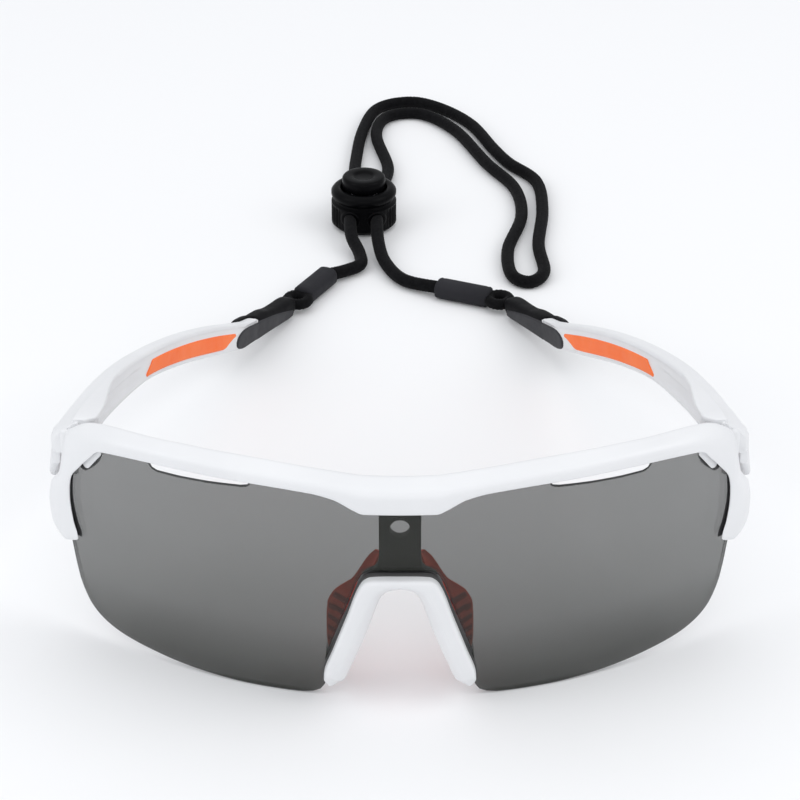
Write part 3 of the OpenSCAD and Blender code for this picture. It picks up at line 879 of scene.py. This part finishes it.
# Rows: t, thickness outside and inside the centreline, height of the inner top edge, depth
# below, and height of the outer top edge.
TEMPLE_KEYS = [
    [-0.012, 3.5, 1.5, 3.3, 3.9, -0.5], [0.0, 4.4, 2.0, 3.8, 4.3, -0.1],
    [0.03, 4.2, 2.0, 4.0, 4.4, 0.6], [0.06, 3.7, 2.0, 4.0, 4.4, 1.4],
    [0.12, 2.9, 2.0, 4.0, 4.4, 2.6], [0.2, 2.5, 2.0, 3.9, 4.1, 3.4], [0.3, 2.2, 2.0, 3.9, 3.8, 3.9],
    [0.45, 2.1, 2.0, 3.7, 3.1, 3.7], [0.6, 2.0, 2.0, 3.55, 3.5, 3.55],
    [0.8, 2.0, 2.0, 3.25, 4.0, 3.25], [0.9, 1.95, 1.95, 3.05, 3.65, 3.05],
    [0.935, 1.9, 1.95, 3.1, 3.5, 3.1], [0.948, 1.75, 1.98, 3.2, 0.8, 3.2],
    [0.958, 1.5, 2.0, 3.3, -0.9, 3.3], [0.975, 1.4, 2.05, 3.65, -1.9, 3.6],
    [0.994, 1.35, 2.05, 4.1, -2.4, 4.0], [1.002, 1.1, 1.8, 4.1, -2.8, 4.0],
    [1.006, 0.4, 1.0, 3.8, -3.2, 3.8]]
temple_rail = smooth_keys(TEMPLE_KEYS)
GROOVE_DEEP = 0.55


def temple_ring(t):
    """The temple's section, with a shallow groove along its inner face."""
    out_w, in_w, top, low, top_out = temple_rail(t)
    fade = rise(t, 0.10, 0.08) * fall(t, 0.42, 0.10)
    corners = [(-out_w, -low), (in_w, -low), (in_w, top), (-out_w, top_out)]
    flat = rounded(corners, (1.1, 0.9, 1.0, 1.4), 6)
    groove = []
    for s in np.linspace(0.12, 0.88, 15):
        sink = GROOVE_DEEP * fade * rise(s, 0.16, 0.10) * fall(s, 0.66, 0.06)
        groove.append((in_w - sink, -low + (top + low) * s))
    return placed(temple_frame(t), flat[:12] + groove + flat[12:])


def pad_strip(front, rear, v_low, v_high, lift, radius):
    """The grip pad: a soft slab on the temple's inner face with slanted ends and rounded corners.
    front and rear are each end's place along the temple and its slant."""
    cols = 16
    steps = np.array([0.0, 0.02, 0.07, 0.16, 0.3, 0.5, 0.75, 1.0]) * radius
    span = np.linalg.norm(temple_point(rear[0]) - temple_point(front[0]))
    ends = np.concatenate([steps, np.linspace(radius, span - radius, 60)[1:-1],
                           span - steps[::-1]])
    rings = []
    for a in ends:
        s = a / span
        gap = max(0.0, radius - min(a, span - a))
        pull = radius - math.sqrt(radius ** 2 - gap ** 2)
        ring_top, ring_low = [], []
        for j in range(cols + 1):
            w = j / cols
            t = (front[0] + front[1] * (w - 0.5)) * (1 - s) + (rear[0] + rear[1] * (w - 0.5)) * s
            _, in_w, top, low, _ = temple_rail(t)
            v = -low + v_low + pull + (top + low - v_low - v_high - 2 * pull) * w
            soft = ease(min(a, span - a) / 0.5) * ease(min(w, 1 - w) * cols / 1.6)
            above = in_w - 0.05 + (lift + 0.05) * soft
            point_top, point_low = placed(temple_frame(t), [(above, v), (in_w - 0.9, v)])
            ring_top.append(point_top)
            ring_low.append(point_low)
        rings.append(ring_top + ring_low[::-1])
    return loft(rings)


temple_ts = np.concatenate([np.linspace(-0.012, 0.06, 12), np.linspace(0.07, 0.93, 90),
                            np.linspace(0.936, 1.006, 36)])
temple_body = loft([temple_ring(t) for t in temple_ts])


def cover_ring(t):
    """The cover that hangs from the temple's outer side and closes the hinge from outside."""
    out_w = temple_rail(t)[0] + 0.35 + 0.75 * rise(t, 0.01, 0.04) * fall(t, 0.2, 0.12)
    drop = 4.0 + 8.2 * fall(t, 0.24, 0.17) - 4.6 * fall(t, 0.055, 0.035)
    high = -0.5 - 1.3 * rise(t, 0.1, 0.1)
    out_low = out_w + 1.5 * rise(t, 0.02, 0.03) * fall(t, 0.17, 0.1)
    corners = [(-out_low, -drop), (-out_low + 1.6, -drop), (-out_w + 1.6, high), (-out_w, high)]
    return placed(temple_frame(t), rounded(corners, (0.8, 0.6, 0.4, 0.7), 5))


hinge_cover = loft([cover_ring(t) for t in np.linspace(0.014, 0.25, 40)])
knuckle = prism(round_end(KNUCKLE_R, math.pi / 2, 2 * math.pi, 26)
                + [(68.2, 31.6), (67.4, 38.0), (64.9, 38.0)], 40.8, 46.4, 0.3)


def lid_ring(t):
    """The widening of the temple's top that covers the hinge."""
    _, in_w, top, _, _ = temple_rail(t)
    wide = 3.4 * rise(t, -0.022, 0.035) * fall(t, 0.26, 0.225) - 0.1
    deep = 0.55 + 0.4 * fall(t, 0.05, 0.02) + 0.5 * rise(t, 0.062, 0.02)
    corners = box_corners(in_w - 1.3, in_w + wide, top - deep, top)
    return placed(temple_frame(t), rounded(corners, (0.1, 0.3, 0.5, 0.1), 5))


lid = loft([lid_ring(t) for t in np.linspace(-0.007, 0.26, 60)])
temple_part = joined(temple_body, knuckle, lid, hinge_cover)
grip_part = pad_strip((0.436, 0.028), (0.874, 0.052), 1.15, 2.1, 0.3, 1.3)


# ---- Leash sockets, rings and sleeves ----

SOCKET_END = np.array([30.2, 165.0, 4.0])
# Rows: millimetres along the socket, width out and in, height up and down.
SHEATH_KEYS = [
    [5.0, 1.9, -0.9, 3.0, 2.9], [7.0, 2.2, -0.9, 3.5, 2.7], [10, 2.5, -0.9, 3.9, 2.1],
    [12.8, 2.6, -0.6, 4.3, 1.6], [14.5, 2.6, 0.6, 4.5, 1.3], [17, 2.6, 1.9, 4.5, 1.2],
    [20, 2.6, 2.0, 4.4, 1.25], [25, 2.5, 2.0, 3.6, 1.4], [30, 2.6, 2.1, 3.0, 1.8],
    [35, 2.7, 2.2, 2.4, 2.3], [37.5, 2.4, 2.0, 1.8, 2.4], [38.4, 1.4, 1.2, 0.9, 1.8]]
SHEATH_SPAN = (5.0, 38.2)
sheath_rail = smooth_keys(SHEATH_KEYS)
# Rows: millimetres along the socket, height of the tab's upper and lower edges.
TAB_KEYS = [
    [0.3, -1.0, -1.9], [0.5, -0.6, -2.3], [1.0, -0.1, -2.7], [2.0, 0.6, -3.05], [3.5, 1.3, -3.25],
    [5, 1.8, -3.2], [7.5, 2.3, -2.8], [10, 2.7, -2.25], [12.5, 3.1, -1.75], [15, 3.4, -1.3],
    [17.5, 3.3, -1.3], [20, 3.0, -1.35], [25, 2.3, -1.5], [30, 1.2, -1.95], [34, 0.0, -2.45],
    [36.5, -0.9, -2.5], [37.2, -1.4, -2.3]]
tab_rail = smooth_keys(TAB_KEYS)
SOCKET_TURN = [temple_point(1.0), temple_point(1.05), (33.5, 157.4, 4.4), SOCKET_END,
               SOCKET_END + (-1.1, 2.3, -0.3)]
socket_path, socket_length = resampled(
    [temple_point(t) for t in np.linspace(0.902, 1.04, 24)] + catmull(SOCKET_TURN, 8)[9:], 0.1)


def socket_frame(s):
    """(point, inward, up) at s millimetres along the socket."""
    last = len(socket_path) - 1
    i = int(np.clip(round(s / socket_length * last), 0, last))
    along = unit(socket_path[min(i + 12, last)] - socket_path[max(i - 12, 0)])
    inward = unit(np.cross(along, UP))
    inward = inward if inward[0] < 0 else -inward
    up = np.cross(inward, along)
    return socket_path[i], inward, up if up[2] > 0 else -up


def socket_part():
    """A rubber sheath over the temple's end, and its smooth tab along the temple's inner face.
    The second result is 1 for each face of the sheath and 0 for each face of the tab."""
    sheath, tab = [], []
    for s in np.linspace(*SHEATH_SPAN, 60):
        place = socket_frame(s)
        out_w, in_w, top, low = sheath_rail(s)
        low = min(low, (place[0][2] - 0.3) / max(place[2][2], 0.3))
        radius = 0.4 * min(out_w + in_w, top + low)
        flat = rounded(box_corners(-out_w, in_w, -low, top), [radius] * 4, 7)
        sheath.append(placed(place, flat))
    for s in np.concatenate([np.linspace(0.3, 3.0, 18), np.linspace(3.5, 35.5, 44),
                             np.linspace(35.8, 37.2, 8)]):
        place = socket_frame(s)
        high, low = tab_rail(s)
        low = max(low, -(place[0][2] - 0.25) / max(place[2][2], 0.3))
        face = 2.0 + 0.35 * rise(s, 0.2, 0.8) - 0.5 * rise(s, 35.5, 1.5)
        flat = rounded(box_corners(-1.2, face, low, high), (0.5, 0.6, 0.6, 0.3), 5)
        tab.append(placed(place, flat))
    sheath, tab = loft(sheath), loft(tab)
    return joined(sheath, tab), [1] * len(sheath[1]) + [0] * len(tab[1])


socket, socket_shades = socket_part()

for side in SIDES:
    body = f"{side}_arm"
    side_piece("temple_shell", side, temple_part, [white], body, "temple",
               sharp=50.0)
    side_piece("temple_grip", side, grip_part, [orange], body, "grip_pad",
               sharp=60.0)
    side_piece("socket", side, socket, [socket_rubber, sheath_black], body,
               "leash_socket", socket_shades, sharp=60.0)

RING_CENTRE = {"left": (26.4, 171.3, 2.6), "right": (-27.2, 171.3, 2.6)}
RING_R, RING_WIRE = 2.75, 1.5
SLEEVE_ENDS = {"left": ((24.1, 172.5, 2.6), CORD_POINTS[-1]),
               "right": ((-26.1, 173.3, 2.6), CORD_POINTS[0])}
SLEEVE_R = 2.95
SLEEVE_FLAT = 0.85
SLEEVE_LINE = (1.0, 1.6)


def cord_ring(centre):
    """A small closed loop of braided cord that lies flat."""
    path = [centre + RING_R * np.array([math.cos(a), math.sin(a), 0]) for a in turns(64)]
    n = len(path)
    rings = []
    for i, p in enumerate(path):
        side = unit(np.cross(unit(path[(i + 1) % n] - path[i - 1]), UP))
        turn = 2 * math.pi * i / n * 3
        ring = []
        for a in turns(18):
            weave = abs(math.cos(3 * (a + turn)) * math.cos(3 * (a - turn)))
            r = RING_WIRE - 0.14 * (1 - weave)
            ring.append(p + r * (math.cos(a) * side + math.sin(a) * np.array(UP)))
        rings.append(ring)
    return loft(rings, closed=True)


def squared(x):
    """A sine or cosine pushed outwards, which makes a circle a little square."""
    return math.copysign(abs(x) ** 0.75, x)


def sleeve(a, b):
    """A rubber sleeve from a to b, flattened and a little square, with a line near each end."""
    a, b = np.array(a), np.array(b)
    length = np.linalg.norm(b - a)
    d = unit(b - a)
    side = unit(np.cross(d, UP))
    up = np.cross(side, d)
    rings = []
    for s in np.concatenate([[0, 0.02, 0.05, 0.09], np.linspace(0.12, 0.88, 70),
                             [0.91, 0.95, 0.98, 1.0]]):
        end = min(s, 1 - s) * length
        r = SLEEVE_R * (0.72 + 0.28 * math.sqrt(min(1.0, end / 0.6)))
        if SLEEVE_LINE[0] < end < SLEEVE_LINE[1]:
            r -= 0.08
        flat = [(r * squared(math.cos(q)), r * SLEEVE_FLAT * squared(math.sin(q)))
                for q in turns(40)]
        rings.append(placed((a + d * length * s, side, up), flat))
    return loft(rings)


for side in SIDES:
    v, f = cord_ring(RING_CENTRE[side])
    piece(f"tie_loop_{side}", v, f, [cord_black], "front",
                              [f"tie_ring_{side}"], sharp=80.0)
    v, f = sleeve(*SLEEVE_ENDS[side])
    piece(f"sleeve_{side}", v, f, [sleeve_black], "front",
                              [f"crimp_{side}"], sharp=50.0)


# ---- Cord lock ----

LOCK = np.array([-10.25, 223.0, 0.0])
LOCK_R = 9.2
GRIP_LOW, GRIP_HIGH = 1.4, 7.6
GRIP_RIBS = 40
HOLE_X, HOLE_Z = 3.75, 5.0


def lathe(profile, sides, swell=None):
    """A solid of revolution about the lock's axis; swell(angle, r, z) adds to the radius."""
    rings = []
    for r, z in profile:
        ring = []
        for a in turns(sides):
            rr = r + (swell(a, r, z) if swell else 0.0)
            ring.append(LOCK + (rr * math.cos(a), rr * math.sin(a), z))
        rings.append(ring)
    return loft(rings)


def grip_ribs(a, r, z):
    """Shallow upright ribs on the sides of the barrel, faded out towards the cords."""
    if r < LOCK_R - 0.15 or not GRIP_LOW <= z <= GRIP_HIGH:
        return 0.0
    beside = rise(abs(math.cos(a)), 0.66, 0.12)
    wave = 0.5 + 0.5 * math.cos(GRIP_RIBS * a)
    return -0.32 * beside * wave * rise(z, GRIP_LOW, 0.7) * fall(z, GRIP_HIGH, 0.7)


def hole_collar(x, y_side):
    """A raised collar round a cord hole, lying on the barrel's curved side."""
    rings = []
    for r, lift in ((2.75, -0.3), (2.7, 0.1), (2.45, 0.3), (2.15, 0.3), (1.85, 0.12),
                    (1.75, -0.9)):
        ring = []
        for q in turns(40):
            px, pz = x + r * math.cos(q), HOLE_Z + r * math.sin(q)
            py = math.sqrt(max(LOCK_R ** 2 - px ** 2, 1.0)) + lift
            ring.append(LOCK + (px, y_side * py, pz))
        rings.append(ring)
    return loft(rings)


# The lock's profiles, from the axis round to the axis again: (radius, Z).
BARREL = ([(0.02, 0.25), (7.7, 0.25), (8.35, 0.45), (8.75, 0.9)]
          + [(LOCK_R, z) for z in np.linspace(GRIP_LOW, GRIP_HIGH, 14)]
          + [(8.7, 7.85), (8.4, 8.1), (8.35, 8.5), (8.6, 8.8), (8.85, 9.2), (LOCK_R, 9.8),
             (LOCK_R, 10.7), (8.7, 11.4), (8.1, 11.85), (7.4, 12.0), (6.9, 11.95), (6.55, 11.7),
             (6.42, 11.3), (6.42, 8.2), (6.2, 8.02), (0.02, 8.0)])
BUTTON = [(0.02, 14.55), (2.3, 14.55), (2.65, 14.65), (3.0, 14.95), (3.4, 15.08), (5.2, 15.08),
          (5.7, 14.95), (6.0, 14.6), (6.1, 14.1), (6.1, 12.0), (5.9, 11.6), (5.5, 11.5),
          (1.4, 11.5), (1.38, 4.8), (1.2, 4.62), (0.02, 4.6)]
v, f = joined(lathe(BARREL, 160, grip_ribs),
              *[hole_collar(x, y_side) for x in (-HOLE_X, HOLE_X) for y_side in (-1, 1)])
piece("lock_barrel", v, f, [lock_plastic], "front",
                          ["lock_body"], sharp=40.0)
v, f = lathe(BUTTON, 96)
piece("lock_plunger", v, f, [lock_plastic], "button",
                          ["lock_button"], sharp=40.0)

SPRING_R, SPRING_WIRE, SPRING_TURNS = 3.6, 0.3, 3
SPRING_LOW, SPRING_HIGH, SPRING_SEAT = 8.35, 11.15, 8.05
spring_end = 2 * math.pi * SPRING_TURNS
helix = [LOCK + (SPRING_R * math.cos(a), SPRING_R * math.sin(a),
                 SPRING_LOW + (SPRING_HIGH - SPRING_LOW) * a / spring_end)
         for a in np.linspace(0, spring_end, 40 * SPRING_TURNS)]
wire = [(SPRING_WIRE * math.cos(q), SPRING_WIRE * math.sin(q)) for q in turns(10)]
v, f = loft([placed(place, wire) for place in route_frames(helix)])
spring = piece("lock_coil", v, f, [steel], "front", ["lock_spring"], sharp=60.0)
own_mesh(spring)


# ---- Hinge pins ----

# (radius, Z) from the lower end of the axis to its upper end.
PIN = [(0.02, 38.25), (0.25, 38.25), (0.28, 38.0), (0.75, 38.0), (0.9, 38.15), (0.9, 48.4),
       (0.75, 48.55), (0.02, 48.55)]
for side, x in zip(SIDES, (HINGE_X, -HINGE_X)):
    v, f = loft([[np.array([x + r * math.cos(q), HINGE_Y + r * math.sin(q), z])
                  for q in turns(36)] for r, z in PIN])
    piece(f"pin_{side}", v, f, [steel], "front", [f"hinge_pin_{side}"])


# ---- Floor ----

FLOOR_HALF = 6.0
floor_mesh = bpy.data.meshes.new("floor")
floor_mesh.from_pydata([(x * FLOOR_HALF, y * FLOOR_HALF, 0)
                        for x, y in ((-1, -1), (1, -1), (1, 1), (-1, 1))], [], [(0, 1, 2, 3)])
floor = bpy.data.objects.new("floor", floor_mesh)
bpy.context.scene.collection.objects.link(floor)
floor_mat, floor_tree, floor_shader = node_material("pale_floor", Specular_IOR_Level=0.2,
                                                    Roughness=0.7)
floor_colour = ramp(floor_tree, noise(floor_tree, 3.0), (0.875, 0.88, 0.888),
                    (0.885, 0.89, 0.897))
floor_tree.links.new(floor_colour, floor_shader.inputs["Base Color"])
floor_mesh.materials.append(floor_mat)
